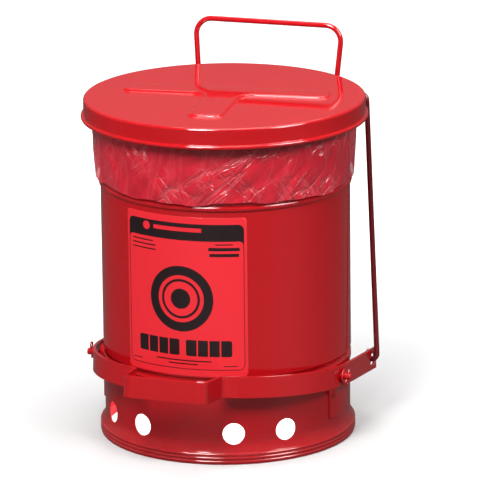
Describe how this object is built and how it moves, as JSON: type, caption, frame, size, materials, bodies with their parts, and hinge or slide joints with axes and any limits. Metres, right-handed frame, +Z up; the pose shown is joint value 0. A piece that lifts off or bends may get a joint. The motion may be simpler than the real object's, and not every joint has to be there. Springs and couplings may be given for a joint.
{
  "type": "foot-operated waste can",
  "caption": "Round red steel waste can with a hinged lid, a foot pedal yoke and lift rods that raise the lid, a wire handle, a vented base and a folded-over liner.",
  "frame": {"origin": "on the can's axis at the floor, on the plane of the base's foot ring", "axes": "+Z up along the can's axis, -Y towards the foot pedal and label, +Y towards the lid hinge and wire handle, X across the can"},
  "size_m": [0.3354, 0.3774, 0.4562],
  "materials": {
    "red_paint": "glossy baked red enamel on pressed sheet steel",
    "rod_paint": "dark red enamel on round steel rod",
    "dark_steel": "plated spring steel fasteners with a little red overspray",
    "label_print": "laminated printed sheet, satin",
    "liner_film": "thin translucent red polyethylene film"
  },
  "bodies": {
    "can": {"can_shell": "red_paint", "bottom_pan": "red_paint", "base_skirt": "red_paint", "left_bracket": "red_paint", "right_bracket": "red_paint", "left_stud": "red_paint", "right_stud": "red_paint", "left_washer": "red_paint", "right_washer": "red_paint", "left_cotter": "red_paint", "right_cotter": "red_paint", "hinge_bracket": "red_paint", "hinge_pin": "dark_steel", "hinge_pin_nuts": "dark_steel", "bail_handle": "red_paint", "left_bail_clip": "red_paint", "right_bail_clip": "red_paint", "label": "label_print", "liner_bag": "liner_film"},
    "lid": {"lid_shell": "red_paint", "lid_hinge_leaf": "red_paint"},
    "yoke": {"pedal_yoke": "red_paint"},
    "rods": {"left_lift_rod": "rod_paint", "right_lift_rod": "rod_paint", "left_rod_nut": "dark_steel", "right_rod_nut": "dark_steel", "left_lid_nut": "dark_steel", "right_lid_nut": "dark_steel"}
  },
  "joints": [
    {"name": "lid_hinge", "type": "hinge", "parent": "can", "child": "lid", "pos_m": [0, 0.1585, 0.391], "axis": [-1, 0, 0], "range_deg": [0, 54]},
    {"name": "pedal_pivot", "type": "hinge", "parent": "can", "child": "yoke", "pos_m": [0, -0.03, 0.085], "axis": [1, 0, 0], "range_deg": [0, 27.6]},
    {"name": "rod_swing", "type": "hinge", "parent": "lid", "child": "rods", "pos_m": [0, 0.099, 0.391], "axis": [1, 0, 0], "range_deg": [0, 49.5]}
  ],
  "couplings": [
    {"joint": "pedal_pivot", "follows": "lid_hinge", "ratio": 0.5109},
    {"joint": "rod_swing", "follows": "lid_hinge", "ratio": 0.9149}
  ]
}
